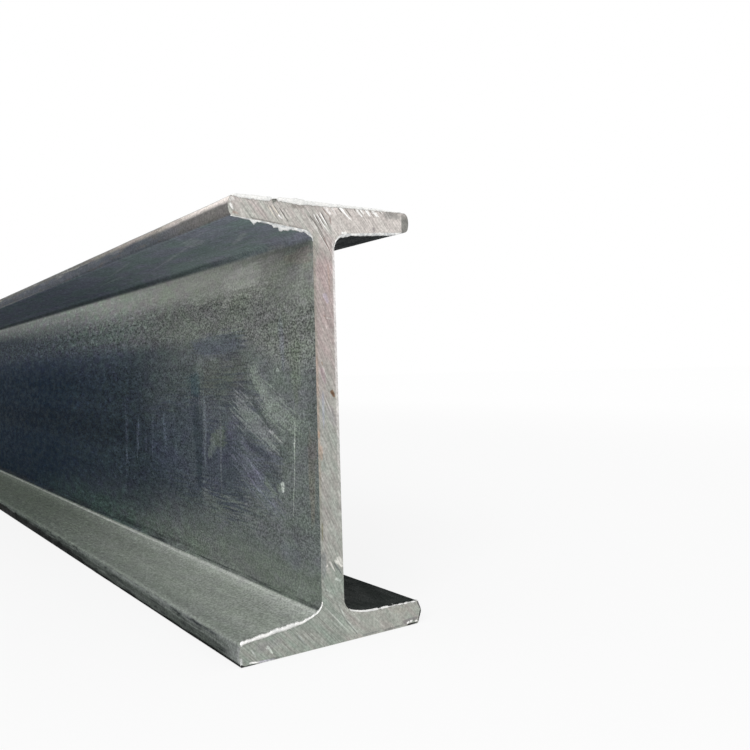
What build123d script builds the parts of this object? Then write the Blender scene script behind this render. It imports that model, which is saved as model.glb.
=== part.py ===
"""Hot-rolled steel I-beam: one bar with tapered flanges and square-sawn ends.

Millimetres. X runs across the flanges, Y along the bar and Z up the web.
The origin is on the outer face of the bottom flange, at half width and half length.
"""

import os

from build123d import *

# Driving dimensions of the rolled section
section_depth = 305.0
flange_width = 145.0  # over the crowns of the toes
web_thickness = 18.0
toe_thickness = 14.8  # the thinnest place of a flange, at its free edge
flange_slope = 0.105  # how much a flange thickens towards the web, per unit of width
root_radius = 13.0  # fillet between web and flange
toe_inner_radius = 5.0  # edge of the toe on the side of the web
toe_outer_radius = 4.0  # edge of the toe at the flange's outer face
toe_crown = 1.8  # bulge of the free edge, where no roll bore on the steel

# Length of the bar as it is stocked
bar_length = 6000.0

# Corners of one quarter of the outline, from the section's centre and before they are rounded
half_depth = section_depth / 2
half_web = web_thickness / 2
toe_reach = flange_width / 2 - toe_crown
toe_height = half_depth - toe_thickness
root_height = toe_height - flange_slope * (toe_reach - half_web)
toe_outer_corner = (toe_reach, half_depth)
toe_inner_corner = (toe_reach, toe_height)
root_corner = (half_web, root_height)

# The cross-section at half length, looking along the bar
mid_length = Plane.XZ.shift_origin((0, 0, half_depth))

with BuildPart() as i_beam:
    with BuildSketch(mid_length) as section:
        # One quarter: outer face, crowned toe, tapered inner face and half the web
        with BuildLine():
            outer_face = Line((0, half_depth), toe_outer_corner)
            SagittaArc(toe_outer_corner, toe_inner_corner, toe_crown)
            Line(toe_inner_corner, root_corner)
            web_face = Line(root_corner, (half_web, 0))
            Polyline(web_face @ 1, (0, 0), outer_face @ 0)
        make_face()

        # Each corner is found by its place, because the one before it has changed the outline
        for corner, radius in (
            (root_corner, root_radius),
            (toe_inner_corner, toe_inner_radius),
            (toe_outer_corner, toe_outer_radius),
        ):
            fillet(section.vertices().sort_by_distance(corner)[0], radius)

        # The rolls are mirror images across the web and across the flanges
        mirror(about=Plane.YZ)
        mirror(about=Plane.XZ)
    extrude(amount=bar_length / 2, both=True)

i_beam.part.label = "i_beam"

os.makedirs("parts", exist_ok=True)
export_step(i_beam.part, "parts/i_beam.step")
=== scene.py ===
"""A hot-rolled steel I-beam with sawn ends. Metres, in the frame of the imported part."""

import math

import bmesh
import bpy
from mathutils import Matrix, Vector, noise


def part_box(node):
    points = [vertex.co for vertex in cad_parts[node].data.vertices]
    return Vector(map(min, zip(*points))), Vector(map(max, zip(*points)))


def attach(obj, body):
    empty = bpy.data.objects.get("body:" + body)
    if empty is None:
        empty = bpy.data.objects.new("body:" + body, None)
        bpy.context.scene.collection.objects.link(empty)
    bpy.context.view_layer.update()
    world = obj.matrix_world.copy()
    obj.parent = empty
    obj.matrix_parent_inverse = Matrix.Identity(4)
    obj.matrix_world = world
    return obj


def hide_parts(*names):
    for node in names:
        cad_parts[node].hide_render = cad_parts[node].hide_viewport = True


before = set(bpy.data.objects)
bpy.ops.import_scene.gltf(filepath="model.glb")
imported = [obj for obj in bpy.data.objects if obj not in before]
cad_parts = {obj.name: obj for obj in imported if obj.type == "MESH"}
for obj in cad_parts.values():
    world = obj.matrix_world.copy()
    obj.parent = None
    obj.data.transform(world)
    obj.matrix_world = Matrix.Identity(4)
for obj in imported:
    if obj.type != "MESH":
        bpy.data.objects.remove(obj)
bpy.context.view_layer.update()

# The bar. It was rolled in one piece from a hot billet, so its section is the same from end to end:
# flanges that thin towards their toes, round roots, and toes that bulge where no roll bore on them.
# Worn rolls leave no two quarters quite alike, and here the lower right toe is blunt and stands out.
mm = 0.001
bar_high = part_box("i_beam")[1]
half_length = bar_high.y
half_depth = bar_high.z / 2
half_width = bar_high.x

# Corners of the section, clockwise from the right end of its top: x, z and radius in millimetres
section = (
    (72.4, 305, 4),
    (73.6, 297.8, 8),
    (72.2, 290.9, 4),
    (7.4, 285.1, 10.5),
    (8.4, 22, 9.5),
    (26, 17.9, 40),
    (73.2, 16.9, 1.5),
    (76.4, 9.4, 4),
    (73, 0, 1.4),
    (-71.8, 0, 1.2),
    (-72.6, 7.3, 8),
    (-71.5, 14.8, 3),
    (-24.5, 19.4, 25),
    (-9.7, 25.5, 8),
    (-9.7, 285.6, 7),
    (-71.2, 291.2, 3.5),
    (-72.5, 298.3, 8),
    (-70.6, 305, 4.5),
)
turn_of_a_segment = math.radians(9)

bar_mesh = bmesh.new()
corners = [bar_mesh.verts.new((x * mm, -half_length, z * mm)) for x, z, radius in section]
bar_mesh.faces.new(corners)
roundings = []
for index, (x, z, radius) in enumerate(section):
    before = corners[index].co - corners[index - 1].co
    after = corners[(index + 1) % len(corners)].co - corners[index].co
    turn = before.angle(after)
    segments = max(2, round(turn / turn_of_a_segment))
    roundings.append((corners[index], radius * mm * math.tan(turn / 2), segments))
for corner, offset, segments in roundings:
    bmesh.ops.bevel(
        bar_mesh, geom=[corner], offset=offset, offset_type="OFFSET", segments=segments,
        profile=0.5, affect="VERTICES", material=-1,
    )

# Flat stretches are divided so that the bar's slight unevenness has points to act on
flat_step = 0.011
for edge in list(bar_mesh.edges):
    cuts = int(edge.calc_length() / flat_step)
    if cuts:
        bmesh.ops.subdivide_edges(bar_mesh, edges=[edge], cuts=cuts)
rim = [(corner.co.x, corner.co.z) for face in bar_mesh.faces for corner in face.verts]

# The section is drawn out along the bar, in short steps near the ends and long ones in the middle
shortest_step = 0.003
longest_step = 0.06
step_growth = 1.035
stations = [0.0]
step = shortest_step
while stations[-1] + step < half_length:
    stations.append(stations[-1] + step)
    step = min(step * step_growth, longest_step)
steps = [b - a for a, b in zip(stations, stations[1:] + [half_length])]
steps += steps[::-1]
(front,) = bar_mesh.faces
for step in steps:
    outline = [*front.edges, *front.verts]
    drawn = bmesh.ops.extrude_face_region(bar_mesh, geom=[front, *outline])["geom"]
    (front,) = [item for item in drawn if isinstance(item, bmesh.types.BMFace)]
    moved = [item for item in drawn if isinstance(item, bmesh.types.BMVert)]
    bmesh.ops.translate(bar_mesh, verts=moved, vec=(0, step, 0))
bmesh.ops.recalc_face_normals(bar_mesh, faces=bar_mesh.faces)
for vertex in bar_mesh.verts:
    if abs(vertex.co.y) > half_length - shortest_step / 2:
        vertex.co.y = math.copysign(half_length, vertex.co.y)

# Rolled steel is never quite true: it waves by a few tenths of a millimetre, most at the free toes.
# Its top and its foot are left flat, so that it lies squarely.
wave_length = 0.07
wave_height = 0.0003
least_freedom = 0.3
bar_mesh.normal_update()
for vertex in bar_mesh.verts:
    place = vertex.co / wave_length
    freedom = least_freedom + abs(vertex.co.x) / half_width
    lift = noise.noise(Vector((place.x * 2, place.y, place.z))) * wave_height * freedom
    if abs(vertex.co.z - half_depth) < half_depth - 0.5 * mm:
        vertex.co.x += vertex.normal.x * lift
        vertex.co.z += vertex.normal.z * lift

looks_along = 0.9
for face in bar_mesh.faces:
    face.smooth = True
    face.material_index = 1 if abs(face.normal.y) > looks_along else 0
for edge in bar_mesh.edges:
    edge.smooth = len({face.material_index for face in edge.link_faces}) == 1


def set_down(name, mesh):
    """Makes a finished mesh an object, at the origin and unturned."""
    data = bpy.data.meshes.new(name)
    mesh.to_mesh(data)
    mesh.free()
    piece = bpy.data.objects.new(name, data)
    bpy.context.collection.objects.link(piece)
    return piece


bar = set_down("rolled_bar", bar_mesh)
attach(bar, "root")
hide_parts("i_beam")


# Mill scale: the skin of oxide that hot steel grows between the rolls. It is blue-black where it is whole,
# and it is painted lighter grey near the ends, as light that falls off along the bar.


def put(tree, kind, sockets=None, **settings):
    """Adds a node, and joins or fills the sockets that are named."""
    node = tree.nodes.new("ShaderNode" + kind)
    for name, value in settings.items():
        setattr(node, name, value)
    for name, value in (sockets or {}).items():
        if isinstance(value, bpy.types.NodeSocket):
            tree.links.new(value, node.inputs[name])
        else:
            node.inputs[name].default_value = value
    return node


def tree_of(*values):
    """The node tree of the first socket among some sockets and numbers."""
    return next(value.id_data for value in values if isinstance(value, bpy.types.NodeSocket))


def reckon(how, first, second=0.0):
    """One step of arithmetic."""
    return put(tree_of(first, second), "Math", {0: first, 1: second}, operation=how).outputs[0]


def plus(first, second):
    return reckon("ADD", first, second)


def minus(first, second):
    return reckon("SUBTRACT", first, second)


def times(first, *others):
    for other in others:
        first = reckon("MULTIPLY", first, other)
    return first


def reckon_place(how, first, second=(0, 0, 0)):
    """One step of arithmetic on places or directions. It gives a place, or a number for some steps."""
    outputs = put(tree_of(first, second), "VectorMath", {0: first, 1: second}, operation=how).outputs
    return outputs["Value" if how in ("DOT_PRODUCT", "LENGTH") else "Vector"]


def fade(value, start, end, low=0.0, high=1.0):
    """Goes smoothly from low to high while the value goes from start to end."""
    return put(
        tree_of(value), "MapRange",
        {"Value": value, "From Min": start, "From Max": end, "To Min": low, "To Max": high},
        interpolation_type="SMOOTHSTEP",
    ).outputs[0]


def within(value, start, full, fall, end):
    """Rises from 0 to 1 between the first two places and falls again between the last two."""
    return times(fade(value, start, full), fade(value, end, fall))


def blend(share, first, second, how="MIX"):
    """Mixes two colours, or lays the second over the first in another way."""
    return put(
        tree_of(share, first, second), "Mix", {0: share, 6: first, 7: second},
        data_type="RGBA", blend_type=how,
    ).outputs[2]


def tone(red, green, blue):
    """A colour in the steps of 0 to 255 that a colour chart gives, as the shader wants it."""
    return tuple(pow((part / 255 + 0.055) / 1.055, 2.4) for part in (red, green, blue)) + (1,)


def grey(value):
    """The same number on all three channels."""
    return put(tree_of(value), "CombineColor", {0: value, 1: value, 2: value}).outputs[0]


def new_group(name, inputs, outputs):
    """A shader node group with named inputs and outputs."""
    group = bpy.data.node_groups.new(name, "ShaderNodeTree")
    for title, kind, value in inputs:
        socket = group.interface.new_socket(name=title, in_out="INPUT", socket_type="NodeSocket" + kind)
        socket.default_value = value
    for title, kind in outputs:
        group.interface.new_socket(name=title, in_out="OUTPUT", socket_type="NodeSocket" + kind)
    return group, group.nodes.new("NodeGroupInput").outputs, group.nodes.new("NodeGroupOutput").inputs


# Cloudiness: noise with its own pitch along each axis, spread out to fill 0 to 1. Fine and sharp it is
# the steel's grain, broad and soft its mottling, and drawn out along one axis the streaks of the rolls.
cloud_group, given, result = new_group(
    "cloud",
    (
        ("Place", "Vector", (0, 0, 0)),
        ("Pitch", "Vector", (1, 1, 1)),
        ("Detail", "Float", 3),
        ("Roughness", "Float", 0.5),
        ("Low", "Float", 0.3),
        ("High", "Float", 0.7),
    ),
    (("Field", "Float"),),
)
scaled = reckon_place("MULTIPLY", given["Place"], given["Pitch"])
field = put(
    cloud_group, "TexNoise",
    {"Vector": scaled, "Scale": 1, "Detail": given["Detail"], "Roughness": given["Roughness"]},
).outputs[0]
cloud_group.links.new(fade(field, given["Low"], given["High"]), result["Field"])


def cloud(place, pitch, detail=3, roughness=0.5, low=0.3, high=0.7):
    """Lays one field of cloudiness. The pitch is in waves to the metre."""
    return put(
        tree_of(place), "Group",
        {"Place": place, "Pitch": pitch, "Detail": detail, "Roughness": roughness, "Low": low, "High": high},
        node_tree=cloud_group,
    ).outputs[0]


# A mark: a ragged oval of rubbed, stained or bared steel, laid over the colour that is under it. Its
# two half axes are given by how much of each there is to the metre. Where streaks are asked for, a
# field of lines breaks it up, most of all towards its edge. It is wider where it starts than where it ends.
mark_group, given, result = new_group(
    "mark",
    (
        ("Under", "Color", (0, 0, 0, 1)),
        ("Colour", "Color", (1, 1, 1, 1)),
        ("Strength", "Float", 1),
        ("Place", "Vector", (0, 0, 0)),
        ("Wander", "Vector", (0, 0, 0)),
        ("Ragged", "Float", 0.001),
        ("Centre", "Vector", (0, 0, 0)),
        ("Along", "Vector", (1, 0, 0)),
        ("Wide", "Vector", (0, 0, 1)),
        ("Lines", "Float", 0),
        ("Streaks", "Float", 0),
    ),
    (("Over", "Color"),),
)
strayed = put(
    mark_group, "VectorMath", {0: given["Wander"], "Scale": given["Ragged"]}, operation="SCALE",
).outputs[0]
strayed = reckon_place("ADD", given["Place"], strayed)
strayed = reckon_place("SUBTRACT", strayed, given["Centre"])
along = reckon_place("DOT_PRODUCT", strayed, given["Along"])
wide = reckon_place("DOT_PRODUCT", strayed, given["Wide"])
taper = 0.35
solid_core = 0.5
wide = times(wide, plus(1, times(along, taper)))
distance = plus(times(along, along, along, along), times(wide, wide))
distance = reckon("SQRT", distance)
distance = plus(distance, times(given["Lines"], given["Streaks"]))
mask = times(fade(distance, 1, solid_core), given["Strength"])
mark_group.links.new(blend(mask, given["Under"], given["Colour"]), result["Over"])


def wandering(place, pitch):
    """A direction that changes from place to place, by which the marks' edges are ragged."""
    field = put(tree_of(place), "TexNoise", {"Vector": place, "Scale": pitch, "Detail": 3}).outputs[1]
    return reckon_place("SUBTRACT", field, (0.5, 0.5, 0.5))


ragged_share = 0.35
ragged_at_most = 0.006


def mark(
    under, colour, strength, place, wander, start, end, width,
    facing=(0, 1, 0), lines=0.0, streaks=0.0,
):
    """Lays one mark from a start to an end, given in millimetres, in the plane that faces so."""
    start, end = Vector(start) * mm, Vector(end) * mm
    run = end - start
    wide = run.cross(Vector(facing)).normalized()
    return put(
        tree_of(place), "Group",
        {"Under": under, "Colour": colour, "Strength": strength, "Place": place, "Wander": wander,
         "Ragged": min(ragged_share * width * mm, ragged_at_most), "Centre": (start + end) / 2,
         "Along": run * 2 / run.length_squared, "Wide": wide * 2 / (width * mm),
         "Lines": lines, "Streaks": streaks},
        node_tree=mark_group,
    ).outputs[0]


def new_material(name):
    """A material, its node tree, its shader and the object's own coordinates."""
    material = bpy.data.materials.new(name)
    material.use_nodes = True
    tree = material.node_tree
    shader = tree.nodes["Principled BSDF"]
    place = put(tree, "TexCoord").outputs["Object"]
    return material, tree, shader, place


def join_surface(tree, shader, colour, roughness, height, metallic, strength, depth):
    """Joins a steel's colour, roughness and relief to its shader."""
    relief = put(tree, "Bump", {"Height": height, "Strength": strength, "Distance": depth}).outputs[0]
    for socket, value in (("Base Color", colour), ("Roughness", roughness), ("Normal", relief)):
        tree.links.new(value, shader.inputs[socket])
    shader.inputs["Metallic"].default_value = metallic


# Places are in metres: height over the floor, across from the middle, and along the bar from an end
mill_scale, tree, shader, place = new_material("mill_scale")
parts = put(tree, "SeparateXYZ", {0: place}).outputs
across = reckon("ABSOLUTE", parts[0])
height = parts[2]
from_end = minus(half_length, reckon("ABSOLUTE", parts[1]))
from_near = plus(parts[1], half_length)

blotches = cloud(place, (9, 3, 9))
mottle = cloud(place, (120, 46, 130), 5, 0.7)
tint = cloud(place, (70, 30, 76), 6, 0.75)
grain = cloud(place, (640, 460, 680), 2, 0.6, 0.34, 0.66)
coarse_grain = cloud(place, (380, 150, 400), 3, 0.6, 0.32, 0.68)
painted_glints = cloud(place, (520, 340, 560), 1, 0.5, 0.6, 0.7)
roll_lines = cloud(place, (420, 3, 420))

# The web: painted lighter grey near the ends, as light that falls off along the bar, and blue-black further
# in
near_grey = tone(101, 106, 103)
deep_blue = tone(20, 33, 44)
blue_patch = tone(74, 80, 94)
foot_green = tone(112, 118, 109)

# The painted light reaches in from both ends, furthest along the head and a little further along the foot
stray = times(minus(blotches, 0.5), 0.12)
slow_top = fade(height, 0.2, 0.262, 1, 0.46)
slow_foot = fade(height, 0.07, 0.035, 1, 0.8)
light_distance = times(from_end, slow_top, slow_foot)
light_distance = plus(light_distance, stray)
near_light = times(fade(light_distance, 0.38, 0.06), 0.7)
near_light = plus(near_light, times(fade(light_distance, 0.85, 0.15), 0.3))
middle = within(height, 0.06, 0.085, 0.185, 0.222)
step_back = fade(plus(from_near, times(stray, 0.2)), 0.19, 0.2, 0, 0.36)
near_light = times(near_light, minus(1, times(step_back, middle)))
far_in = fade(from_end, 0.25, 0.45)
# Painted sheen: further in, the upper web is lifted towards a pale blue
upper_painted_sheen = times(fade(height, 0.18, 0.23), far_in, 0.17)
web = blend(upper_painted_sheen, blend(near_light, deep_blue, near_grey), tone(98, 106, 122))
dark_belt = times(within(height, 0.104, 0.122, 0.136, 0.154), far_in, 0.44)
web = blend(dark_belt, web, tone(8, 18, 26))
green_belt = within(plus(height, times(stray, 0.04)), 0.2285, 0.2305, 0.244, 0.258)
green_belt = times(green_belt, within(from_end, 0.27, 0.36, 0.52, 0.8), 0.26)
web = blend(green_belt, web, tone(104, 120, 108))

# The middle of the bar, away from both ends, has broad grey clouds in the blue
clouds = times(cloud(place, (1, 1.6, 9), 4), fade(from_end, 1.25, 1.8), 0.6)
web = blend(clouds, web, tone(50, 57, 62))

# Under its head runs a smooth pale band, and below that a belt of pitted scale
pale_band = blend(fade(from_end, 0.2, 0.7), tone(168, 170, 160), tone(190, 194, 184))
pitted_grey = tone(124, 126, 117)
band_foot = fade(from_end, 0.8, 0.15, 0.238, 0.244)
band_foot = plus(band_foot, fade(from_end, 0.7, 1, 0, 0.01))
band_head = fade(from_end, 0.8, 0.15, 0.292, 0.264)
band_height = plus(height, times(stray, 0.06))
pale = fade(band_height, band_foot, band_head)
pale = times(pale, minus(1, within(from_end, -0.02, -0.01, 0.02, 0.12)))
near_pale = times(fade(height, 0.225, 0.255), within(from_end, -0.02, -0.01, 0.02, 0.12))
pit_foot = minus(height, fade(from_end, 0.02, 0.14, 0.192, 0.22))
pit_head = minus(height, fade(from_end, 0.02, 0.12, 0.279, 0.253))
pitted = times(fade(pit_foot, -0.01, 0.01), fade(pit_head, 0.005, -0.005))
web = blend(times(pitted, fade(from_end, 0.7, 0.1, 0.1, 0.45)), web, pitted_grey)
web = blend(plus(pale, times(near_pale, 0.28)), web, pale_band)
head_shade = times(fade(height, 0.266, 0.279), fade(from_end, 0.22, 0.04))
web = blend(times(head_shade, 0.48), web, tone(86, 91, 88))

# Its foot is greener, with a dark line of painted shade in the root corner and a pale line on the round of
# the root
foot = fade(height, 0.062, 0.036)
web = blend(times(foot, fade(light_distance, 0.4, 0.1, 0, 0.65)), web, foot_green)
greened = times(foot, within(from_end, 0.25, 0.45, 0.5, 0.9), 0.3)
web = blend(greened, web, tone(62, 84, 72))
corner_shade_lines = cloud(place, (300, 9, 300), 4, 0.6, 0.38, 0.56)
corner_shade_head = fade(from_end, 0.1, 0.32, 0.0292, 0.035)
corner_shade = times(fade(height, 0.0246, 0.0252), fade(height, corner_shade_head, 0.0262))
corner_shade = times(corner_shade, fade(from_end, 0, 0.12, 0.6, 1))
web = blend(times(corner_shade, corner_shade_lines, 0.85), web, tone(28, 32, 34))

# The flanges: the lower one dusty on top, the upper one blue-grey underneath
ledge_near = tone(148, 153, 145)
ledge_deep = tone(97, 104, 95)
under_near = tone(124, 131, 136)
under_deep = tone(89, 96, 105)
upper = fade(height, 0.15, 0.155)
# Like the web, the ledge and the underside are painted lighter near the ends, as light that falls off along
# the bar
ledge = blend(fade(from_end, 0.75, 0), ledge_deep, ledge_near)
ledge = blend(fade(across, 0.048, 0.066, 0, 0.32), ledge, tone(84, 92, 86))
turned_up = times(fade(across, 0.024, 0.013), fade(from_end, 0.45, 0.1, 0.12, 0.46))
ledge = blend(turned_up, ledge, tone(186, 190, 183))
line_far = blend(fade(from_end, 1, 0.05), tone(150, 154, 148), tone(186, 189, 183))
root_line = within(height, 0.0231, 0.0235, 0.0239, 0.0244)
ledge = blend(times(root_line, fade(from_end, 0.02, 0.3, 0.4, 0.85)), ledge, line_far)
under = blend(fade(from_end, 0.55, 0.05), under_deep, under_near)
lit_root = times(fade(across, 0.036, 0.02), fade(from_end, 0.42, 0.12, 0, 0.5))
under = blend(lit_root, under, tone(140, 146, 150))
bloom = cloud(place, (70, 16, 1), 4, 0.6, 0.38, 0.62)
under = blend(1, under, blend(bloom, (1.03, 0.98, 1.06, 1), (0.9, 1.01, 0.92, 1)), "MULTIPLY")
root_lines = cloud(place, (90, 14, 90), 4, 0.65, 0.36, 0.6)
root_shade = within(height, 0.278, 0.282, 0.2832, 0.2864)
root_shade = times(root_shade, fade(from_end, 0, 0.25, 0.35, 1))
unbroken = fade(from_end, 0.06, 0.26, 0.3, 0.88)
root_shade = times(root_shade, fade(root_lines, 0, 1, unbroken, 1))
flange = blend(upper, ledge, under)
on_web = fade(across, 0.015, 0.0112)
on_web = times(on_web, within(height, 0.0244, 0.0254, 0.2785, 0.2822))
skin = blend(on_web, flange, web)
skin = blend(times(root_shade, fade(across, 0.027, 0.018), 0.78), skin, tone(38, 47, 45))

# The toes: the rim of the upper one is painted pale, partly brownish rust and partly light from above, and
# the lower part of the lower one is painted dark as shade, near black along its foot
toe_under = blend(fade(from_end, 0.16, 0.02), tone(82, 86, 92), tone(110, 108, 105))
foot_shadow_tone = tone(12, 15, 14)
scallops = cloud(place, (1, 30, 1))
shadow_top = fade(from_end, 0.28, 0.46, 0.002, 0.007)
shadow_top = plus(shadow_top, fade(from_end, 0.5, 0.95, 0, 0.004))
shadow_edge = times(minus(scallops, 0.5), fade(from_end, 0.1, 0.5, 0.001, 0.004))
shadow_top = plus(shadow_top, shadow_edge)
foot_shadow = fade(minus(height, shadow_top), 0.0012, -0.0002)
toe_side = blend(fade(from_end, 0, 0.6), tone(114, 118, 115), tone(84, 91, 85))
# The lower part of the lower toe is painted darker, as shade where it faces down
toe_foot = blend(fade(from_end, 0.1, 0.6), tone(72, 77, 73), tone(24, 30, 27))
toe = blend(fade(height, 0.013, 0.0085), toe_side, toe_foot)
knocks = cloud(place, (1, 34, 300), 4, 0.65, 0.5, 0.66)
toe = blend(times(knocks, 0.85), toe, tone(36, 40, 40))
rubs = cloud(place, (3, 15, 420), 4, 0.65, 0.52, 0.66)
toe = blend(times(rubs, fade(height, 0.003, 0.006), 0.4), toe, tone(132, 137, 133))
toe = blend(fade(from_end, 0.03, 0.006), toe, tone(116, 120, 117))
toe = blend(fade(from_end, 0.005, 0.001, 0, 0.55), toe, tone(164, 166, 164))
lip = times(within(height, 0.0108, 0.0117, 0.0124, 0.0132), fade(from_end, 0.16, 0.04))
toe = blend(times(lip, fade(scallops, 0.3, 0.7), 0.75), toe, tone(46, 50, 52))
toe = blend(fade(height, 0.0128, 0.0145), toe, ledge)
toe = blend(foot_shadow, toe, foot_shadow_tone)
rim_tone = blend(fade(from_end, 0.42, 0.1), tone(98, 99, 96), tone(160, 153, 146))
rim_tone = blend(fade(from_end, 0.14, 0.01), rim_tone, tone(236, 227, 219))
rim_foot = plus(height, times(minus(scallops, 0.5), 0.0012))
toe_top = blend(fade(rim_foot, 0.298, 0.3017), toe_under, rim_tone)
rim_knocks = times(knocks, fade(from_end, 0.02, 0.1, 0.15, 0.5))
toe_top = blend(rim_knocks, toe_top, tone(96, 92, 88))
rim_rubs = times(rubs, fade(from_end, 0.1, 0.4, 0, 0.8), fade(height, 0.296, 0.2985))
upper_lip = within(height, 0.2898, 0.2908, 0.2918, 0.293)
upper_lip = times(upper_lip, fade(from_end, 0.35, 0.7, 0, 0.45))
toe_top = blend(plus(rim_rubs, upper_lip), toe_top, tone(148, 147, 142))
toe = blend(upper, toe, toe_top)
skin = blend(fade(across, 0.0692, 0.071), skin, toe)

# The two outer faces, worn grey where they are stacked and dragged
outer = plus(fade(height, 0.3042, 0.3049), fade(height, 0.0008, 0.0001))
worn = blend(blotches, tone(94, 97, 97), tone(130, 128, 121))
worn = blend(times(bloom, 0.35), worn, tone(92, 96, 102))
skin = blend(outer, skin, worn)
# Painted shadow along the bottom edges of the foot, where the bar meets the floor
rim_shadow = times(fade(height, 0.0016, 0.0006), fade(height, -0.001, 0))
skin = blend(rim_shadow, skin, foot_shadow_tone)

# The right side is painted dark as shade: near black towards the near end, dark grey further along and on the
# web, and less so on the toes
right_side_shade = times(fade(parts[0], 0, 0.006), minus(1, outer))
right_shade_tone = blend(fade(from_near, 0.9, 0.5), tone(36, 43, 46), tone(8, 17, 17))
right_shade_tone = blend(on_web, right_shade_tone, tone(36, 43, 50))
right_shade_share = fade(across, 0.0755, 0.0715, 0.4, fade(on_web, 0, 1, 0.94, 0.78))
skin = blend(times(right_side_shade, right_shade_share), skin, right_shade_tone)

# Scuffs, stains and knocks on the left of the web next to the near end, and some painted light under the
# head. Each runs from one place to another, both in millimetres from the end and up, and has a width,
# streakiness, strength and colour.
left_side = fade(parts[0], 0, -0.004)
web_place = put(tree, "CombineXYZ", {0: from_near, 1: parts[0], 2: height}).outputs[0]
web_wander = wandering(web_place, 90)
web_lines = {}
for slope in (0, 22, 35, 52, 90):
    lean = math.radians(slope)
    along = reckon_place("DOT_PRODUCT", web_place, (math.cos(lean), 0, math.sin(lean)))
    wide = reckon_place("DOT_PRODUCT", web_place, (-math.sin(lean), 0, math.cos(lean)))
    spot = put(tree, "CombineXYZ", {0: along, 1: wide, 2: 0}).outputs[0]
    web_lines[slope] = minus(cloud(spot, (24, 420, 1), 4, 0.65, 0.34, 0.66), 0.5)
rub_pale = tone(128, 135, 127)
rub_grey = tone(122, 127, 124)
rub_violet = tone(110, 113, 123)
rub_blue = tone(104, 113, 126)
stain_green = tone(107, 116, 100)
spot_pale = tone(182, 187, 180)
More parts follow.
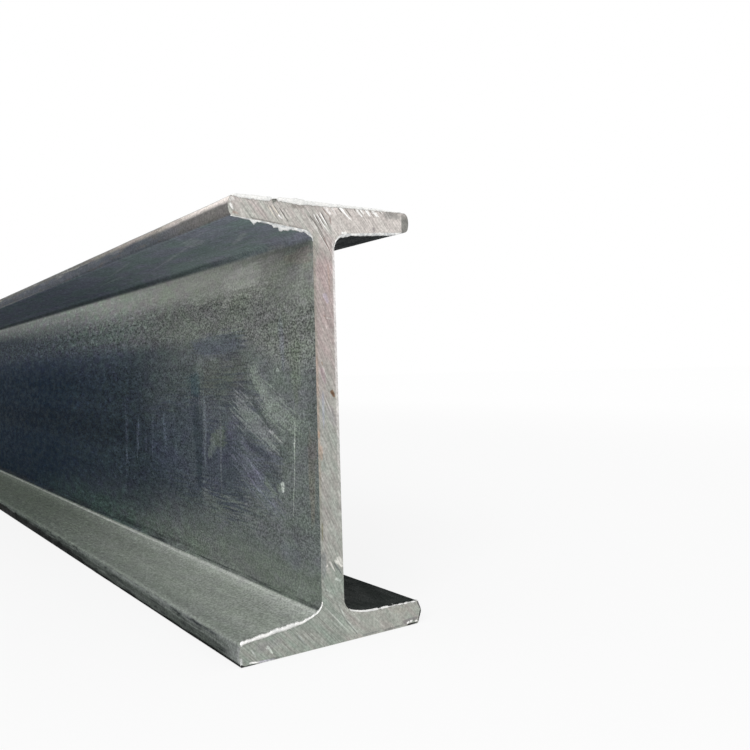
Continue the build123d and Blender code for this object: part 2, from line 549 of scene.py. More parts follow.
web_marks = (
    (105, 214, 225, 214, 24, 0.5, 0.5, blue_patch),
    (96, 186, 214, 180, 52, 0.6, 0.55, tone(78, 81, 74)),
    (60, 136, 360, 120, 122, 0.5, 0.46, tone(54, 61, 74)),
    (112, 116, 218, 112, 88, 0.6, 0.55, tone(52, 57, 70)),
    (50, 122, 130, 108, 44, 0.5, 0.45, tone(64, 68, 78)),
    (29, 230, 28, 160, 17, 0.5, 0.45, stain_green),
    (50, 232, 46, 190, 10, 0.6, 0.4, tone(116, 120, 128)),
    (8, 150, 9, 80, 13, 0.6, 0.4, tone(118, 110, 98)),
    (10, 205, 16, 150, 18, 1, 0.22, tone(128, 132, 132)),
    (4, 200, 8, 110, 20, 0.5, 0.3, tone(84, 88, 86)),
    (101, 197, 66, 160, 15, 0.9, 0.8, rub_pale),
    (86, 171, 18, 146, 24, 1, 0.7, rub_pale),
    (136, 168, 54, 132, 25, 1, 0.82, rub_grey),
    (104, 132, 48, 122, 15, 0.9, 0.4, tone(98, 102, 111)),
    (56, 134, 40, 124, 12, 0.6, 0.45, tone(70, 76, 78)),
    (112, 178, 66, 144, 5.5, 1, 0.7, tone(72, 78, 76)),
    (118, 136, 70, 124, 10, 0.8, 0.55, tone(62, 66, 74)),
    (74, 147, 49, 137, 2.4, 0.4, 0.75, tone(156, 160, 154)),
    (134, 128, 52, 84, 30, 1.3, 0.38, rub_violet),
    (114, 125, 80, 102, 2.6, 0.5, 0.85, rub_violet),
    (121, 117, 86, 94, 2.2, 0.6, 0.75, rub_violet),
    (102, 116, 60, 98, 2.4, 0.6, 0.8, rub_violet),
    (108, 106, 60, 86, 2.2, 0.6, 0.8, rub_violet),
    (124, 108, 92, 88, 1.8, 0.6, 0.6, rub_violet),
    (138, 124, 128, 117, 2, 0.4, 0.7, rub_violet),
    (31, 160, 34, 112, 2.2, 0.4, 0.9, tone(150, 156, 148)),
    (34, 118, 38, 78, 1.6, 0.5, 0.7, tone(142, 148, 140)),
    (33, 139, 33, 135, 3.2, 0, 0.8, spot_pale),
    (52.5, 109, 51.5, 100, 6.5, 0, 1, spot_pale),
    (62, 104, 52, 103, 6, 0.5, 0.5, rub_pale),
    (55, 193, 56, 189, 5, 0, 0.7, tone(158, 164, 158)),
    (82, 106, 60, 98, 6, 0.8, 0.45, stain_green),
    (148, 141, 184, 129, 18, 0.8, 0.48, tone(102, 110, 96)),
    (174, 134, 187, 116, 13, 0.9, 0.5, tone(108, 117, 110)),
    (152, 138, 162, 128, 5, 0.9, 0.4, tone(60, 66, 60)),
    (124, 146, 150, 142, 22, 0.9, 0.4, tone(96, 96, 108)),
    (194, 172, 194, 104, 8, 1.3, 0.5, tone(106, 114, 116)),
    (208, 168, 208, 80, 24, 0.5, 0.62, tone(46, 54, 60)),
    (160, 164, 161, 84, 4.5, 0.8, 0.45, tone(104, 108, 110)),
    (214, 192, 210, 168, 34, 0.6, 0.4, tone(46, 70, 76)),
    (294, 155, 287, 108, 8, 1.5, 0.26, rub_blue),
    (325, 150, 329, 108, 7, 1.5, 0.22, rub_blue),
    (370, 144, 375, 104, 9, 1.5, 0.26, rub_blue),
    (406, 162, 411, 78, 9, 1.5, 0.18, rub_blue),
    (346, 130, 352, 96, 6, 1.4, 0.18, rub_blue),
    (262, 130, 266, 92, 6, 1.4, 0.2, rub_blue),
    (66, 280, 62, 252, 30, 0.5, 0.14, tone(108, 107, 96)),
    (30, 276, 130, 266, 20, 0.5, 0.3, tone(134, 134, 124)),
    (70, 262, 160, 249, 26, 0.6, 0.32, tone(142, 143, 134)),
    (0, 270, 44, 272, 14, 0.6, 0.4, tone(136, 125, 118)),
    (4, 33, 72, 37, 12, 0.5, 0.34, tone(126, 131, 126)),
    (26, 52, 60, 60, 20, 0.5, 0.22, tone(112, 118, 124)),
    (0, 58, 20, 48, 16, 0.5, 0.22, tone(122, 127, 126)),
    (84, 44, 130, 50, 14, 0.5, 0.25, tone(104, 114, 102)),
    # Light patches under the head: partly the pale scale's own colour, partly painted light where the head
    # shades the web
    (36, 267, 240, 256, 25, 0.5, 0.52, tone(158, 160, 151)),
    (74, 267, 156, 263, 20, 0.4, 0.36, tone(206, 207, 198)),
    (60, 252, 160, 246, 13, 0.6, 0.28, tone(140, 142, 135)),
    (5, 257, 15, 241, 13, 0.5, 0.4, tone(102, 104, 99)),
)
for y1, z1, y2, z2, width, streaks, strength, colour in web_marks:
    slope = math.degrees(math.atan2(z2 - z1, y2 - y1))
    lines = web_lines[min(web_lines, key=lambda lean: abs((slope - lean + 90) % 180 - 90))]
    skin = mark(
        skin, colour, times(left_side, strength), web_place, web_wander,
        (y1, 0, z1), (y2, 0, z2), width, lines=lines, streaks=streaks,
    )

# Thin bright scratches under the head
under_side = times(left_side, fade(height, 0.2835, 0.286))
for y1, x1, y2, x2, width, strength in (
    (120, -50, 210, -36, 2.4, 0.24),
    (150, -46, 260, -30, 2, 0.2),
    (60, -62, 130, -57, 2.4, 0.2),
    (40, -40, 90, -28, 5, 0.25),
    (84, -54, 124, -50, 14, 0.24),
    (230, -60, 330, -48, 2.6, 0.2),
    (300, -40, 420, -34, 3, 0.18),
):
    skin = mark(
        skin, tone(170, 174, 174), times(under_side, strength), web_place, web_wander,
        (y1, x1, 0), (y2, x2, 0), width, (0, 0, 1), web_lines[0], 0.4,
    )

# Light and dark over all of it: mottling, lines left by the rolls, and the grain of the scale, which is
# coarse on the pitted belt and by the ends and fine on the pale band. The glints and flecks laid on it are
# painted highlights.
distant = fade(from_end, 0.08, 0.5)
contrast = blend(on_web, grey(fade(upper, 0, 1, 0.44, 0.8)), grey(fade(pitted, 0, 1, 0.7, 1.02)))
contrast = times(contrast, minus(1, times(plus(pale, near_pale), 0.55)))
calm = times(fade(height, 0.066, 0.048), fade(from_end, 0.22, 0.1), on_web)
contrast = times(contrast, minus(1, times(calm, 0.32)))
lively = times(within(from_end, 0.12, 0.25, 0.38, 0.8), middle, on_web)
contrast = times(contrast, plus(1, times(lively, 0.4)))
speckle = minus(grain, 0.5)
coarse = times(minus(coarse_grain, 0.5), fade(distant, 0, 1, 0.3, 0.9))
speckle = plus(speckle, coarse)
speckle = plus(speckle, times(painted_glints, 0.5))
flecks = cloud(place, (260, 80, 280), 1, 0.5, 0.6, 0.68)
speckle = plus(speckle, times(flecks, distant, 0.75))
shade = plus(times(speckle, contrast), 1)
sway = times(minus(mottle, 0.5), fade(distant, 0, 1, 0.34, 0.1), contrast)
shade = times(shade, plus(sway, 0.97))
shade = times(shade, fade(roll_lines, 0, 1, 0.96, 1.04))
hues = blend(tint, (1, 0.955, 1.07, 1), (0.955, 1.03, 0.97, 1))
skin = blend(fade(on_web, 0, 1, 0.42, 1), skin, blend(1, skin, hues, "MULTIPLY"))
far_hues = blend(mottle, (1.05, 0.95, 1.06, 1), (0.92, 1.05, 0.97, 1))
skin = blend(times(distant, on_web), skin, blend(1, skin, far_hues, "MULTIPLY"))
skin = blend(1, skin, grey(shade), "MULTIPLY")

dry_gloss = 0.012
shader.inputs["Specular IOR Level"].default_value = dry_gloss
roughness = fade(mottle, 0, 1, 0.72, 0.52)
relief = plus(times(grain, contrast), times(mottle, 0.2))
join_surface(tree, shader, skin, roughness, relief, metallic=0, strength=0.5, depth=0.0006)
bar.data.materials.append(mill_scale)


# The sawn ends. A large circular saw cut the bar to length, and its teeth left arcs across the bright
# steel. Nothing covers them but fingerprints of rust, the grime of the yard, and painted shade beside the
# scratches.
sawn_steel, tree, shader, place = new_material("sawn_steel")
parts = put(tree, "SeparateXYZ", {0: place}).outputs
height = parts[2]
across = parts[0]

# The arcs lean to the left up the web, and further over in the foot and in the head
foot_bend = times(reckon("MAXIMUM", minus(0.035, height), 0), -0.485)
head_bend = times(reckon("MAXIMUM", minus(height, 0.272), 0), 0.335)
drift = plus(times(height, 0.445), plus(foot_bend, head_bend))
arc_place = put(tree, "CombineXYZ", {0: plus(across, drift), 1: parts[1], 2: height}).outputs[0]
fine_arcs = cloud(arc_place, (820, 1, 70), 2, 0.6, 0.34, 0.66)
broad_arcs = cloud(arc_place, (330, 1, 34), 2)
cut_lines = cloud(arc_place, (620, 1, 40), 1, 0.5, 0.6, 0.7)
cut_patches = cloud(arc_place, (50, 1, 30), 2, 0.5, 0.45, 0.65)
mottle = cloud(place, (120, 120, 120), 5, 0.65)
blush = cloud(arc_place, (140, 1, 60), 3)
grain = cloud(place, (520, 520, 520), 2, 0.6, 0.34, 0.66)

sawn_bright = tone(190, 186, 181)
sawn_pink = tone(178, 166, 163)
sawn_grey = tone(166, 167, 161)
sawn_green = tone(154, 160, 152)
sawn_warm = tone(169, 170, 163)
sawn_white = tone(252, 251, 248)
sawn_light = tone(220, 216, 211)
# Painted light and the steel's own colour: the face is lighter and pinker towards the head, darker and
# greener towards the foot
face = blend(fade(across, 0.004, 0.014), sawn_green, sawn_warm)
face = blend(fade(height, 0.035, 0.075), face, sawn_grey)
face = blend(fade(height, 0.14, 0.235), face, sawn_pink)
face = blend(fade(height, 0.262, 0.29), face, sawn_bright)
flush = blend(blush, (1.035, 0.975, 0.99, 1), (0.965, 1.02, 0.995, 1))
face = blend(1, face, flush, "MULTIPLY")

# A second bite of the saw starts over the web and leaves the right of the head brighter
bite = fade(height, 0.304, 0.293, -0.0017, 0.0052)
bite = plus(bite, times(minus(0.293, height), 0.15))
past_bite = minus(across, bite)
head = fade(height, 0.276, 0.29)
bitten = times(fade(past_bite, -0.001, 0.0016), head)
face = blend(times(bitten, 0.75), face, tone(214, 207, 202))

over_web = within(height, 0.262, 0.272, 0.299, 0.304)
over_web = times(over_web, within(across, -0.018, -0.01, 0.003, 0.009))
lit_lines = times(cut_lines, plus(times(cut_patches, 0.22), times(over_web, 0.45)))
face = blend(lit_lines, face, sawn_white)
# The dark lines over the web, between the lit ones, are painted shade
dark_lines = cloud(arc_place, (760, 1, 36), 1, 0.5, 0.54, 0.64)
dark_lines = times(dark_lines, fade(over_web, 0, 1, 0.1, 0.55))
face = blend(dark_lines, face, tone(130, 126, 122))

# Single marks, from one place to another in millimetres, with width, strength and colour. The dark lines
# beside the bright scratches are painted shade along their sides.
rust_brown = tone(124, 96, 74)
rust_pale = tone(190, 160, 136)
rust_pink = tone(146, 124, 119)
grime_and_scratch_shade = tone(132, 129, 124)
scratch_shade = tone(112, 106, 102)
foot_edge_shadow = tone(40, 40, 40)
face_marks = (
    (-7, 288, -8, 264, 5, 0.4, tone(168, 172, 161)),
    (-16, 296, -8, 285, 0.8, 0.35, sawn_light),
    (-13.4, 295.6, -1.4, 281.2, 0.9, 0.8, sawn_light),
    (-12.2, 296.8, -5.6, 288.4, 0.8, 0.8, scratch_shade),
    (-10.6, 294.3, 3.4, 273, 0.8, 0.85, sawn_light),
    (-9.4, 295, 1.8, 278.6, 0.7, 0.8, scratch_shade),
    (-8.8, 297.8, -3.2, 290.4, 0.9, 1, sawn_white),
    (-7.7, 297.4, -0.6, 286.8, 0.8, 0.95, scratch_shade),
    (-6.4, 298.6, 1.6, 287.4, 0.8, 0.95, sawn_white),
    (-5.2, 298.4, 0.8, 289.8, 0.7, 0.95, scratch_shade),
    (-4, 299.7, 2.8, 289.8, 0.8, 1, sawn_white),
    (-2.7, 299.6, 3.9, 289.6, 0.8, 0.85, scratch_shade),
    (-7.6, 289.6, 5, 270.2, 0.8, 0.75, sawn_light),
    (-6.2, 288.6, 5, 271.6, 0.7, 0.75, scratch_shade),
    (4.3, 296.6, 6.6, 286, 0.6, 0.55, sawn_light),
    (-1.7, 302.7, 4.4, 296.5, 0.9, 0.85, tone(160, 144, 138)),
    (4.2, 297, 5.7, 291, 1, 0.7, rust_pink),
    (5.8, 291.6, 7.2, 283, 1.1, 0.6, sawn_light),
    (-1.3, 283.1, 4.9, 271.4, 1, 0.6, rust_pink),
    (0.6, 281.4, 5.4, 271.6, 0.8, 0.5, sawn_light),
    (-0.4, 304.4, 5.9, 297.9, 2.2, 0.95, tone(250, 245, 242)),
    (8.2, 303.9, 10.6, 298.3, 3.2, 0.45, tone(228, 216, 212)),
    (5.6, 304, 10.5, 297.8, 0.9, 0.65, sawn_white),
    (13.6, 297.6, 15, 290, 1, 0.35, grime_and_scratch_shade),
    (12.2, 305, 18, 299.6, 2, 1, sawn_white),
    (14.8, 302.4, 22.6, 295.6, 1.1, 1, sawn_white),
    (11.4, 303.7, 15.2, 299.8, 0.9, 0.8, scratch_shade),
    (8.6, 302.8, 12, 296.8, 0.7, 0.5, grime_and_scratch_shade),
    (17, 304, 23.6, 297.3, 0.9, 0.8, grime_and_scratch_shade),
    (26.2, 305, 32.4, 298.6, 1.5, 0.95, sawn_white),
    (25, 303.8, 26.6, 302.4, 1, 0.7, grime_and_scratch_shade),
    (28.5, 304.3, 33.2, 299.4, 0.7, 0.5, grime_and_scratch_shade),
    (29.7, 305, 33.6, 301, 1.2, 0.9, sawn_white),
    (34.6, 305.2, 39.4, 299.9, 2, 1, sawn_white),
    (37.8, 305.2, 40, 302.6, 0.8, 0.6, grime_and_scratch_shade),
    (39.8, 305.2, 45.6, 300.3, 1.9, 1, sawn_white),
    (39.5, 302.5, 43.5, 299.1, 0.7, 0.5, grime_and_scratch_shade),
    (43.5, 303.2, 46.6, 300.2, 1, 0.8, sawn_white),
    (46.2, 305.3, 49, 302.2, 0.8, 0.7, grime_and_scratch_shade),
    (48, 305, 50, 302.6, 0.8, 0.6, sawn_white),
    (53.3, 302.6, 55.5, 302.2, 1.1, 0.5, grime_and_scratch_shade),
    (50, 303, 67, 301.4, 5, 0.75, tone(162, 160, 156)),
    (40.4, 290.6, 43, 290.6, 4, 0.75, tone(150, 143, 143)),
    (46.2, 288.8, 48, 289.1, 1.2, 0.9, sawn_white),
    (13.4, 285.2, 18.6, 286.8, 2.4, 1, sawn_white),
    (18.9, 286.2, 19.9, 286.2, 1.2, 0.8, grime_and_scratch_shade),
    (-70.9, 299.4, -68.4, 294.8, 1.4, 1, sawn_white),
    (-71.5, 301.6, -67, 302.4, 2.6, 0.6, tone(234, 232, 228)),
    (-69.5, 293.6, -64.5, 292.6, 1.8, 0.6, tone(176, 152, 142)),
    (-44.6, 301.2, -36.5, 289.8, 0.7, 0.8, grime_and_scratch_shade),
    (-43.7, 300.6, -37.6, 291.2, 0.7, 0.85, tone(232, 226, 214)),
    (-42.2, 300.8, -35.6, 290.8, 0.6, 0.7, grime_and_scratch_shade),
    (-41, 301, -33.1, 291.9, 0.8, 0.9, tone(236, 230, 216)),
    (-35.9, 294.8, -32.8, 291.9, 1.3, 1, sawn_white),
    (-39.4, 301.2, -33.4, 293, 0.6, 0.75, grime_and_scratch_shade),
    (-36.6, 300.4, -30.6, 291.4, 0.7, 0.8, sawn_light),
    (-35.4, 299.8, -27.7, 289.8, 0.7, 0.9, tone(112, 109, 105)),
    (-33.7, 299.6, -28.6, 292.4, 0.8, 0.8, sawn_light),
    (-32.2, 299.8, -26.4, 291.6, 0.6, 0.65, grime_and_scratch_shade),
    (-30.2, 299.2, -25.4, 292.2, 0.7, 0.6, sawn_light),
    (-24.5, 299, -18, 290, 0.8, 0.35, sawn_light),
    (-40.4, 304, -36.7, 304, 3.6, 0.9, tone(122, 124, 118)),
    (-27, 301.4, -15.6, 301.6, 3.2, 0.6, tone(146, 140, 134)),
    (-58, 291, -30, 288.2, 0.9, 0.7, tone(132, 128, 124)),
    (-30, 288.4, -15, 286.4, 0.8, 0.5, tone(140, 136, 130)),
    (2, 265.8, 3, 242, 1.4, 0.45, tone(176, 152, 140)),
    (-2.2, 244, 1.6, 236, 3, 0.45, tone(186, 178, 196)),
    (-3, 226.8, 6, 225.4, 0.9, 0.5, sawn_light),
    (-2.6, 228.6, -0.2, 224.8, 0.9, 0.45, rust_brown),
    (-5.5, 192.8, -2.5, 180, 3.4, 0.4, tone(178, 152, 162)),
    (-5.2, 196.4, -4.2, 193.2, 1.2, 0.45, rust_brown),
    (1.8, 176.6, 5, 170.9, 2.6, 0.9, rust_brown),
    (2.4, 175.4, 4.4, 172, 1.2, 0.6, tone(96, 70, 50)),
    (5.6, 171.6, 6.8, 169.8, 1.2, 0.7, tone(212, 206, 184)),
    (-4.7, 177, -4.7, 148, 1.9, 0.55, tone(174, 178, 190)),
    (-1.5, 166, 5.5, 150, 6, 0.35, tone(158, 150, 156)),
    (-8.8, 148.6, -8.6, 143, 1.6, 0.6, rust_pale),
    (-7.4, 139, -7, 127, 2.4, 0.4, rust_pale),
    (-7.9, 86, -7.9, 71.5, 1.2, 0.7, tone(128, 124, 96)),
    (-7.6, 66, -7.6, 46, 4.4, 0.6, tone(132, 137, 137)),
    (3.6, 60.4, 8.4, 52, 3.6, 0.7, tone(226, 225, 218)),
    (1, 58.4, 8, 52.4, 1.6, 0.75, tone(226, 225, 218)),
    (-3.4, 58.8, 1.8, 49.8, 1.1, 0.8, sawn_light),
    (-5.4, 55.4, -4, 54.6, 1.6, 0.7, sawn_light),
    (0.4, 56.8, 7.6, 46.8, 1.1, 0.8, tone(112, 117, 118)),
    (-1.4, 58.4, 3.4, 51.2, 0.7, 0.6, grime_and_scratch_shade),
    (1.2, 45.6, 6.4, 42.8, 1.8, 0.6, tone(204, 211, 204)),
    (-8.4, 40.2, -2.4, 36.8, 1, 0.5, tone(196, 204, 196)),
    (-8.2, 38.4, 7.6, 25.4, 0.8, 0.35, tone(186, 194, 186)),
    (3.6, 27.6, 9.6, 15.4, 1, 0.6, tone(190, 196, 189)),
    (2.8, 26.6, 8.6, 15.2, 0.7, 0.5, tone(124, 129, 124)),
    (9.2, 16, 20.8, 1.8, 1, 0.6, tone(196, 200, 194)),
    (8.2, 15.8, 19.8, 1.6, 0.9, 0.6, tone(116, 121, 116)),
    (-20.8, 12.8, -8.1, 1.6, 0.9, 0.4, tone(184, 188, 178)),
    (-14, 20, 2, 1.5, 0.9, 0.3, tone(180, 186, 178)),
    (-29.6, 13.2, -22.7, 4, 0.9, 0.45, tone(180, 188, 184)),
    (-30.6, 13, -23.8, 3.8, 0.8, 0.4, tone(120, 126, 124)),
    (-47.3, 13.2, -41.5, 5.6, 1.1, 0.45, tone(180, 183, 176)),
    (-52.8, 10.8, -48, 3.8, 1.4, 1, tone(222, 229, 220)),
    (-53.2, 8.4, -51.6, 8.8, 0.9, 0.7, tone(208, 216, 206)),
    (-63.9, 10.2, -60.3, 4, 1, 0.6, tone(196, 200, 196)),
    (-71.8, 6.4, -70.9, 1, 2, 0.9, tone(212, 214, 212)),
    (-62, 9.5, -40, 11.5, 6, 0.3, tone(146, 142, 146)),
    (-66, 1.9, -57.5, 0.9, 1.1, 1, sawn_white),
    (-60, 0.9, -46, 0.6, 1.2, 0.8, tone(206, 203, 214)),
    # The near-black lines along the very foot of the face are painted shadow, where it meets the floor
    (-72, 1.2, -68.5, 0.1, 1.6, 1, foot_edge_shadow),
    (-69, 0.25, -60, 0.1, 0.9, 1, foot_edge_shadow),
    (-52, 1.1, -40, 1, 1.1, 0.55, tone(108, 110, 108)),
    (22, 1.2, 40, 1.6, 1.2, 0.55, tone(118, 120, 120)),
    (40, 0.9, 60, 1.6, 1.4, 0.5, tone(112, 112, 112)),
    (58, 3, 74, 4.6, 3, 0.55, tone(112, 106, 112)),
    (62, 0.7, 73.2, 0.9, 1.2, 1, foot_edge_shadow),
    (62.4, 1.9, 65.2, 2.8, 1.3, 1, sawn_white),
    (65.6, 2.4, 68.2, 3.4, 1.5, 1, sawn_white),
    (70.2, 1.9, 72.8, 2.2, 1.2, 1, sawn_white),
    (72.8, 16.8, 76.2, 9.6, 1.5, 0.8, tone(84, 81, 84)),
    (76.4, 10.4, 73, 0.4, 1.6, 0.9, tone(50, 49, 50)),
    (50, 13.5, 64, 11.8, 3.6, 0.3, tone(170, 168, 156)),
)
face_wander = wandering(place, 420)
spread = 1.3
face_place = put(tree, "CombineXYZ", {0: across, 1: 0, 2: height}).outputs[0]
for x1, z1, x2, z2, width, strength, colour in face_marks:
    face = mark(face, colour, strength, face_place, face_wander, (x1, 0, z1), (x2, 0, z2), width * spread)

# The edges of the web: rust has crept in along the left one, and a painted highlight runs down the right one
creep = times(fade(across, -0.007, -0.0086), within(height, 0.066, 0.085, 0.268, 0.285))
creep = times(creep, fade(mottle, 0, 1, 0.45, 1))
rusty = within(height, 0.095, 0.14, 0.195, 0.215)
face = blend(times(creep, 0.62), face, blend(rusty, tone(142, 142, 130), tone(172, 150, 132)))
right_edge_highlight = times(fade(across, 0.0052, 0.0064), within(height, 0.07, 0.15, 0.274, 0.284))
right_edge_highlight = times(right_edge_highlight, fade(height, 0.12, 0.25, 0.35, 0.85))
face = blend(right_edge_highlight, face, tone(230, 227, 225))
# The right end of the head is painted dull grey, as shade
right_toe_shade = times(fade(across, 0.0662, 0.0674), fade(height, 0.2, 0.25))
right_toe_shade = times(right_toe_shade, fade(height, 0.3045, 0.3, 0.35, 0.95))
face = blend(right_toe_shade, face, tone(130, 130, 125))

plain = times(fade(across, 0.014, 0.03), fade(height, 0.03, 0.02), 0.65)
shade = times(fade(fine_arcs, 0, 1, -0.13, 0.12), minus(1, plain))
shade = plus(shade, 1)
for field, dark, light in ((broad_arcs, 0.95, 1.05), (mottle, 0.93, 1.06), (grain, 0.88, 1.12)):
    shade = times(shade, fade(field, 0, 1, dark, light))
face = blend(1, face, grey(shade), "MULTIPLY")
roughness = fade(fine_arcs, 0, 1, 0.54, 0.4)
relief = plus(fine_arcs, broad_arcs)
join_surface(tree, shader, face, roughness, relief, metallic=0.75, strength=0.4, depth=0.0003)
bar.data.materials.append(sawn_steel)


# The burrs. The saw pushed a little steel ahead of it, and this hangs in ragged bright fins from the
# edges of the cut: thickest over the top of the web and along the upper edge of the foot.
burr_step = 0.0007
burr_thickness = 0.0005
burr_strips = 4
burr_lift = 0.2 * mm
crumple = 0.4 * mm


def rim_run(first, last):
    """The cut's rim from one place to another, the way round that its points go."""
    places = [Vector(point) for point in rim]
    start = min(range(len(rim)), key=lambda index: (places[index] - Vector(first) * mm).length)
    end = min(range(len(rim)), key=lambda index: (places[index] - Vector(last) * mm).length)
    run = [places[(start + index) % len(rim)] for index in range((end - start) % len(rim) + 1)]
    run[0] = Vector(first) * mm
    run[-1] = Vector(last) * mm
    return run


def resampled(run, step):
    """Points a step apart along a run of points, with the direction at each."""
    lengths = [(b - a).length for a, b in zip(run, run[1:])]
    count = max(int(sum(lengths) / step), 2)
    samples = []
    for index in range(count + 1):
        wanted = sum(lengths) * index / count
        part = 0
        while part < len(lengths) - 1 and wanted > lengths[part]:
            wanted -= lengths[part]
            part += 1
        a, b = run[part], run[part + 1]
        samples.append((a.lerp(b, min(wanted / max(lengths[part], 1e-9), 1)), (b - a).normalized()))
    return samples


def read_off(table, value):
    """A value read off a table of pairs, straight between its entries."""
    if value <= table[0][0]:
        return table[0][1]
    for (a, low), (b, high) in zip(table, table[1:]):
        if value <= b:
            return low + (high - low) * (value - a) / (b - a)
    return table[-1][1]


burr_mesh = bmesh.new()


def fin(first, last, stand_out, lie_in, seed, rough=0.3, swell=0.6, end=-1):
    """A ragged fin along the rim. Both tables give millimetres against x in millimetres."""
    samples = resampled(rim_run(first, last), burr_step)
    grid = bmesh.ops.create_grid(
        burr_mesh, x_segments=len(samples) - 1, y_segments=burr_strips, size=1,
    )["verts"]
    grid.sort(key=lambda vertex: (round(vertex.co.x, 5), vertex.co.y))
    rows = len(grid) // len(samples)
    for index, (point, direction) in enumerate(samples):
        outward = Vector((-direction.y, direction.x))
        x = point.x / mm
        ragged = noise.noise(Vector((index * 0.4, seed, 0.5))) + 0.6 * noise.noise(Vector((index, seed, 7.5)))
        reach_out = read_off(stand_out, x) * mm * max(1 + rough * ragged, 0.1)
        reach_in = read_off(lie_in, x) * mm * max(1 - rough * ragged, 0.2)
        for row in range(rows):
            share = row / (rows - 1)
            spot = point + outward * (share * (reach_out + reach_in) - reach_in)
            curl = swell * mm * math.sin(math.pi * share)
            curl += crumple * noise.noise(Vector((index * 0.3, row, seed)))
            grid[index * rows + row].co = (spot.x, end * (half_length + burr_lift + curl), spot.y)
    faces = list({face for vertex in grid for face in vertex.link_faces})
    bmesh.ops.recalc_face_normals(burr_mesh, faces=faces)
    bmesh.ops.solidify(burr_mesh, geom=faces, thickness=burr_thickness)


fin(
    (-69.5, 304.2), (66, 305),
    ((-69, 0.3), (-52, 0.8), (-41, 0.8), (-40, 0.1), (-37, 0.2), (-36, 1.1), (-26, 1.4), (-23, 1.8),
     (-17, 1.6), (-15, 1), (48, 0.9), (56, 0.5), (66, 0.1)),
    ((-69, 1), (-66, 2.2), (-42, 2.3), (-40, 0.3), (-37, 0.3), (-36, 1.9), (-26, 2), (-23, 2.5),
     (-17, 2.5), (-15, 2), (5, 1.8), (14, 1.2), (48, 0.7), (58, 0.5), (66, 0.1)),
    seed=1, rough=0.25,
)
fin(
    (-9.7, 278.6), (-70.6, 291.1),
    ((-70.5, 0.6), (-57, 0.9), (-56, 1.6), (-54, 3.4), (-51.7, 1), (-51, 1.3), (-49, 1.1),
     (-40.6, 1.2), (-39.8, 2.8), (-37, 2.9), (-36.4, 1.6), (-35.6, 4.1), (-33.5, 3.9), (-28.5, 2.9),
     (-27.8, 2.2), (-18, 2.2), (-17, 1.8), (-15, 2.5), (-12, 2.2), (-10.5, 1.4), (-9.7, 0.2)),
    ((-71, 0.2), (-9, 0.2)),
    seed=11, rough=0.22,
)
fin(
    (66.5, 290.4), (7.4, 276),
    ((7.4, 0.2), (9, 0.9), (12, 1.4), (14, 2.5), (18.5, 2.3), (21, 1.5), (30, 2), (58, 2),
     (63, 1.3), (66.5, 0.2)),
    ((8, 0.2), (71, 0.2)),
    seed=23, rough=0.15,
)
fin(
    (-71.4, 14), (-9.7, 31.2),
    ((-71.5, 1.8), (-69, 2.6), (-64, 2.1), (-58, 2.7), (-52, 2.3), (-46, 3.1), (-40, 2.7), (-33, 3),
     (-27, 2.3), (-22, 1.9), (-16, 1.5), (-11, 1.1), (-9.7, 0.4)),
    ((-72, 0.6), (-64, 0.3), (-54, 0.7), (-46, 0.2), (-38, 0.7), (-30, 0.2), (-9, 0.2)),
    seed=37, rough=0.22, swell=1.1,
)
fin(
    (12.4, 22.4), (73, 16.9),
    ((12.4, 0.2), (13.5, 0.6), (36, 0.9), (37.6, 0), (38.9, 0), (39.5, 0.9), (45.5, 0.8),
     (46, 0.2), (51.5, 0.2), (52, 0), (54.5, 0), (55, 0.5), (58, 0.4), (58.6, 0), (60, 0),
     (60.5, 0.6), (63, 0.5), (63.5, 0), (66.5, 0), (67, 0.6), (70.5, 0.5), (71, 0.1), (73, 0)),
    ((12.4, 0.2), (13.5, 0.7), (36, 1), (37.6, 0.1), (38.9, 0.1), (39.5, 1.1), (45.5, 0.9),
     (46, 0.4), (51.5, 0.4), (52, 0.1), (54.5, 0.1), (55, 0.8), (58, 0.6), (58.6, 0.1), (60, 0.1),
     (60.5, 0.9), (63, 0.8), (63.5, 0.1), (66.5, 0.1), (67, 0.9), (70.5, 0.8), (71, 0.1), (73, 0.1)),
    seed=41, rough=0.25,
)
for first, last, stand_out, seed in (
    ((-66, 305), (64, 305), 0.8, 61),
    ((-9.7, 279), (-69, 291), 1.2, 67),
    ((69, 290.6), (7.4, 276), 1, 71),
    ((-70, 15.2), (-9.7, 32), 1.4, 73),
    ((9, 26), (72, 16.9), 1, 79),
):
    fin(first, last, ((0, stand_out),), ((0, 0.8),), seed=seed, rough=0.8, end=1)

for face in burr_mesh.faces:
    face.smooth = True
burrs = set_down("saw_burrs", burr_mesh)
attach(burrs, "root")

# Torn steel is white where it is fresh and thick, and greyer where it hangs under the head
torn_steel, tree, shader, place = new_material("torn_steel")
height = put(tree, "SeparateXYZ", {0: place}).outputs[2]
flakes = cloud(place, (240, 240, 240), 4, 0.6)
creases = cloud(place, (900, 900, 900), 2)
torn = blend(flakes, tone(226, 227, 225), tone(254, 253, 250))
hanging = within(height, 0.268, 0.276, 0.2895, 0.2925)
torn = blend(times(hanging, fade(flakes, 1, 0, 0.05, 0.85)), torn, tone(186, 189, 191))
torn = blend(1, torn, grey(fade(creases, 0, 1, 0.93, 1.02)), "MULTIPLY")
roughness = fade(flakes, 0, 1, 0.55, 0.38)
join_surface(tree, shader, torn, roughness, creases, metallic=0.5, strength=0.4, depth=0.0004)
burrs.data.materials.append(torn_steel)


# The studio: a plain pale floor under a white surround, and one large soft lamp ahead on the left.
# The floor is seen as a shade off white near the bar, where its shadow lies, and white further off.
floor_reach = 30
floor_drop = 0.0004
floor_mesh = bmesh.new()
bmesh.ops.create_grid(floor_mesh, x_segments=1, y_segments=1, size=floor_reach)
bmesh.ops.translate(floor_mesh, verts=floor_mesh.verts, vec=(0, 0, -floor_drop))
floor = set_down("floor", floor_mesh)


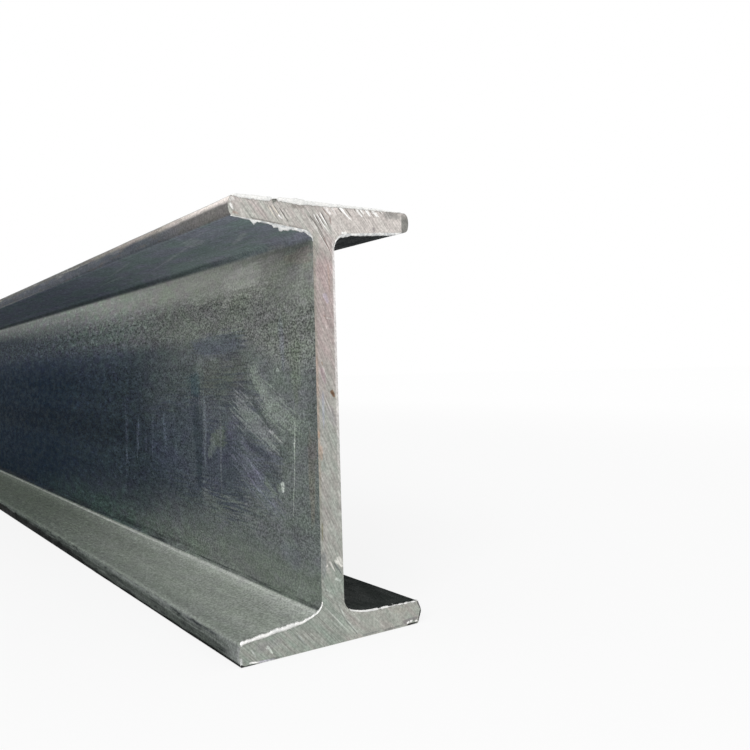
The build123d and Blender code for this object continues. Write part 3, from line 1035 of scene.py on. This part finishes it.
def looked_at(tree):
    """1 for light that goes straight to the camera, also by way of a mirror or glass."""
    rays = put(tree, "LightPath").outputs
    seen = reckon("MAXIMUM", rays["Is Camera Ray"], rays["Is Glossy Ray"])
    return reckon("MAXIMUM", seen, rays["Is Transmission Ray"])


floor_paint, tree, shader, place = new_material("floor_paint")
shader.inputs["Base Color"].default_value = (0.8, 0.8, 0.8, 1)
shader.inputs["Specular IOR Level"].default_value = 0.0
shader.inputs["Roughness"].default_value = 1.0
seen = looked_at(tree)
white = put(tree, "Emission", {"Color": (1, 1, 1, 1), "Strength": 1}).outputs[0]
apart = reckon_place("LENGTH", reckon_place("MULTIPLY", place, (1, 0.3, 1)))
white_near = 0.82
white_far = 0.98
share = times(seen, fade(apart, 0.3, 3, white_near, white_far))
mixed = put(tree, "MixShader", {0: share, 1: shader.outputs[0], 2: white}).outputs[0]
tree.links.new(mixed, tree.nodes["Material Output"].inputs["Surface"])
floor.data.materials.append(floor_paint)

world_level = 0.75
world = bpy.data.worlds.new("surround")
world.use_nodes = True
tree = world.node_tree
surround = tree.nodes["Background"].inputs
tree.links.new(fade(looked_at(tree), 0, 1, world_level, 1), surround["Strength"])
surround["Color"].default_value = (1, 1, 1, 1)
bpy.context.scene.world = world

lamp_size = 1.6
lamp_power = 60
lamp_data = bpy.data.lights.new("soft_lamp", "AREA")
lamp_data.shape = "SQUARE"
lamp_data.size = lamp_size
lamp_data.energy = lamp_power
lamp = bpy.data.objects.new("soft_lamp", lamp_data)
lamp_place = Vector((-2.2, -half_length - 1.8, 2.2))
lamp_aim = Vector((0, -half_length + 0.2, 0.15)) - lamp_place
lamp.matrix_world = Matrix.Translation(lamp_place) @ lamp_aim.to_track_quat("-Z", "Y").to_matrix().to_4x4()
bpy.context.collection.objects.link(lamp)

# The camera stands low beside the near end, and looks over the sawn face and along the left side
camera_place = Vector((-0.2933, -half_length - 0.4741, 0.1888))
camera_aim = Vector((0.5746, 0.8184, -0.005))
camera_up = Vector((0.0237, -0.0103, 0.9997))
camera_data = bpy.data.cameras.new("camera")
camera_data.lens = 38.57
camera_data.sensor_width = 36
camera_data.clip_start = 0.01
camera_data.clip_end = 100
camera = bpy.data.objects.new("camera", camera_data)
back = -camera_aim.normalized()
right = camera_up.cross(back).normalized()
up = back.cross(right)
camera.matrix_world = Matrix.Translation(camera_place) @ Matrix((right, up, back)).transposed().to_4x4()
bpy.context.collection.objects.link(camera)
bpy.context.scene.camera = camera
bpy.context.scene.view_settings.view_transform = "Standard"
